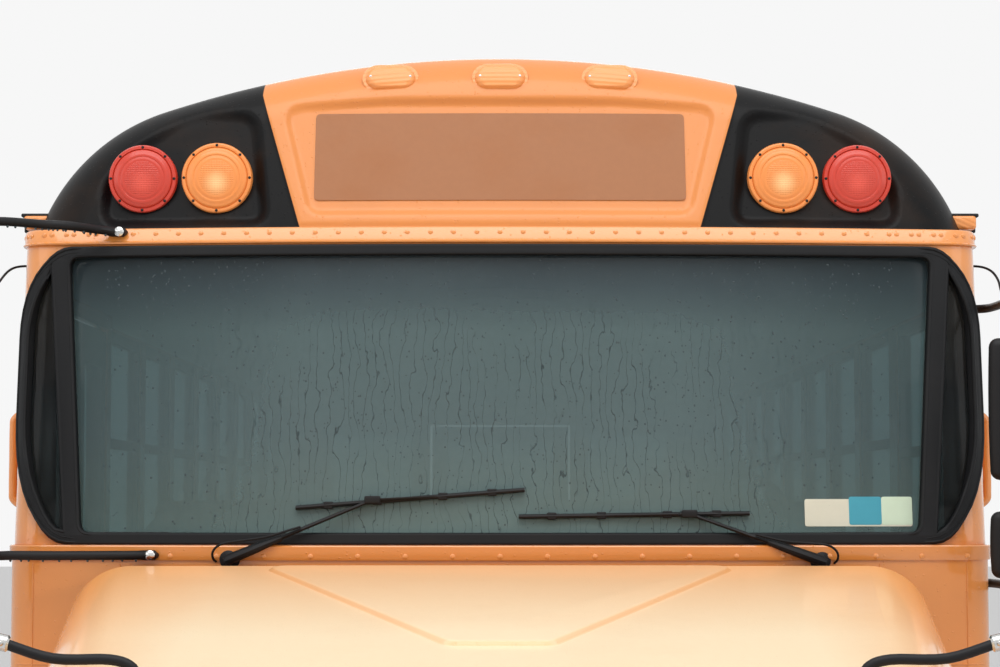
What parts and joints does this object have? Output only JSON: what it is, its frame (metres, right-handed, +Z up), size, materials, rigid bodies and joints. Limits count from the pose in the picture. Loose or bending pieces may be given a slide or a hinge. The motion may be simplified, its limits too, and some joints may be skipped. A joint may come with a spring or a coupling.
{
  "type": "school bus",
  "caption": "Conventional school bus with a tilting hood, steered front wheels, dual rear wheels, entry and emergency doors, stop arm and roof hatches.",
  "frame": {"origin": "on the ground, at the middle of the bus's length and width", "axes": "+X to the bus's left (driver's side), -Y to its front, +Z up"},
  "size_m": [2.81, 11.2, 3.2196],
  "materials": {
    "body_yellow": "gloss",
    "black_trim": "satin",
    "frame_steel": "satin",
    "bare_steel": "satin",
    "cast_iron": "matte",
    "wheel_paint": "satin",
    "tyre_rubber": "matte",
    "seal_rubber": "matte",
    "window_glass": "gloss",
    "aluminium_frame": "satin",
    "red_lens": "gloss",
    "amber_lens": "gloss",
    "clear_lens": "gloss",
    "sign_red": "satin",
    "mirror_black": "satin",
    "dash_plastic": "matte",
    "floor_cover": "matte",
    "seat_vinyl": "satin"
  },
  "bodies": {
    "bus_body": {"frame": "frame_steel", "front_bumper": "black_trim", "rear_bumper": "black_trim", "powertrain": "cast_iron", "exhaust": "bare_steel", "fuel_tank": "frame_steel", "leaf_springs": "frame_steel", "front_axle": "cast_iron", "rear_axle": "cast_iron", "floor": "floor_cover", "wheel_housings": "floor_cover", "entry_steps": "floor_cover", "cowl": "body_yellow", "windshield_frame": "body_yellow", "windshield_seal": "seal_rubber", "windshield": "window_glass", "front_cap": "body_yellow", "roof": "body_yellow", "side_left": "body_yellow", "side_right": "body_yellow", "window_frames": "aluminium_frame", "cabin_glass": "window_glass", "rub_rails": "black_trim", "rear_end": "body_yellow", "mirrors": "mirror_black", "grab_handles": "body_yellow", "red_lamps": "red_lens", "amber_lamps": "amber_lens", "marker_lamps": "amber_lens", "wipers": "black_trim", "dashboard": "dash_plastic", "driver_seat": "seat_vinyl", "seats": "seat_vinyl", "rear_lamps": "red_lens"},
    "hood": {"hood": "body_yellow", "grille": "black_trim", "headlamps": "clear_lens", "crossview_mirrors": "mirror_black"},
    "knuckle_left": {"knuckle_left": "cast_iron"},
    "knuckle_right": {"knuckle_right": "cast_iron"},
    "tie_rod": {"tie_rod": "frame_steel"},
    "front_wheel_left": {"front_wheel_left": "wheel_paint", "front_tyre_left": "tyre_rubber"},
    "front_wheel_right": {"front_wheel_right": "wheel_paint", "front_tyre_right": "tyre_rubber"},
    "rear_wheels_left": {"rear_wheels_left": "wheel_paint", "rear_tyres_left": "tyre_rubber"},
    "rear_wheels_right": {"rear_wheels_right": "wheel_paint", "rear_tyres_right": "tyre_rubber"},
    "entry_door_front": {"entry_door_front": "black_trim", "entry_glass_front": "window_glass"},
    "entry_door_rear": {"entry_door_rear": "black_trim", "entry_glass_rear": "window_glass"},
    "emergency_door": {"emergency_door": "body_yellow", "emergency_glass": "window_glass"},
    "stop_arm": {"stop_arm": "sign_red"},
    "hatch_front": {"hatch_front": "body_yellow"},
    "hatch_rear": {"hatch_rear": "body_yellow"}
  },
  "joints": [
    {"name": "hood_tilt", "type": "hinge", "parent": "bus_body", "child": "hood", "pos_m": [0, -5.45, 0.76], "axis": [1, 0, 0], "range_deg": [0, 65]},
    {"name": "steer_left", "type": "hinge", "parent": "bus_body", "child": "knuckle_left", "pos_m": [0.9, -4.65, 0.52], "axis": [0, 0, 1], "range_deg": [-45, 45]},
    {"name": "steer_right", "type": "hinge", "parent": "bus_body", "child": "knuckle_right", "pos_m": [-0.9, -4.65, 0.52], "axis": [0, 0, 1], "range_deg": [-45, 45]},
    {"name": "tie_rod_link", "type": "hinge", "parent": "knuckle_left", "child": "tie_rod", "pos_m": [0.9, -4.48, 0.445], "axis": [0, 0, 1], "range_deg": [-45, 45]},
    {"name": "front_spin_left", "type": "hinge", "parent": "knuckle_left", "child": "front_wheel_left", "pos_m": [1.035, -4.65, 0.52], "axis": [1, 0, 0], "continuous": true},
    {"name": "front_spin_right", "type": "hinge", "parent": "knuckle_right", "child": "front_wheel_right", "pos_m": [-1.035, -4.65, 0.52], "axis": [1, 0, 0], "continuous": true},
    {"name": "rear_spin_left", "type": "hinge", "parent": "bus_body", "child": "rear_wheels_left", "pos_m": [0.915, 1.8, 0.52], "axis": [1, 0, 0], "continuous": true},
    {"name": "rear_spin_right", "type": "hinge", "parent": "bus_body", "child": "rear_wheels_right", "pos_m": [-0.915, 1.8, 0.52], "axis": [1, 0, 0], "continuous": true},
    {"name": "entry_door_front_swing", "type": "hinge", "parent": "bus_body", "child": "entry_door_front", "pos_m": [-1.225, -3.4, 1.4], "axis": [0, 0, 1], "range_deg": [0, 90]},
    {"name": "entry_door_rear_swing", "type": "hinge", "parent": "bus_body", "child": "entry_door_rear", "pos_m": [-1.225, -2.6, 1.4], "axis": [0, 0, -1], "range_deg": [0, 90]},
    {"name": "emergency_door_swing", "type": "hinge", "parent": "bus_body", "child": "emergency_door", "pos_m": [-0.415, 5.48, 1.75], "axis": [0, 0, 1], "range_deg": [0, 110]},
    {"name": "stop_arm_swing", "type": "hinge", "parent": "bus_body", "child": "stop_arm", "pos_m": [1.276, -3.262, 1.33], "axis": [0, 0, -1], "range_deg": [0, 90]},
    {"name": "hatch_front_lift", "type": "hinge", "parent": "bus_body", "child": "hatch_front", "pos_m": [0, -1.43, 3.1746], "axis": [1, 0, 0], "range_deg": [0, 60]},
    {"name": "hatch_rear_lift", "type": "hinge", "parent": "bus_body", "child": "hatch_rear", "pos_m": [0, 2.87, 3.1746], "axis": [1, 0, 0], "range_deg": [0, 60]}
  ],
  "couplings": [
    {"joint": "steer_right", "follows": "steer_left", "ratio": 1},
    {"joint": "tie_rod_link", "follows": "steer_left", "ratio": -1},
    {"joint": "entry_door_rear_swing", "follows": "entry_door_front_swing", "ratio": 1}
  ]
}
